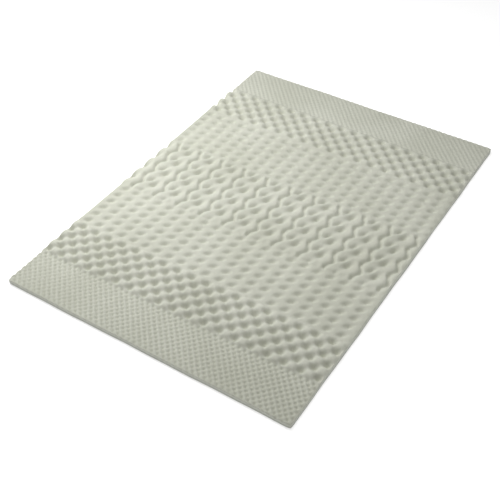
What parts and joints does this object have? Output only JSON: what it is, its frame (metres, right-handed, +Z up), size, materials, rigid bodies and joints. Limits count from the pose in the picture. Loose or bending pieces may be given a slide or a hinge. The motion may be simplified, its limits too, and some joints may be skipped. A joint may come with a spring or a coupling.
{
  "type": "mattress topper",
  "caption": "Flat foam mattress topper with a smooth underside, its upper face profile-cut in bands of egg-crate knobs, separate cups and linked pits between finely dimpled ends.",
  "frame": {"origin": "middle of the flat underside, on the surface that the topper lies on", "axes": "+X across the bed, +Y along the bed from the near end to the far end, +Z up towards the sleeper"},
  "size_m": [1.4, 2, 0.035],
  "materials": {
    "foam": "matt open-cell foam, pale ivory"
  },
  "bodies": {
    "root": {"foam_pad": "foam"}
  },
  "joints": []
}
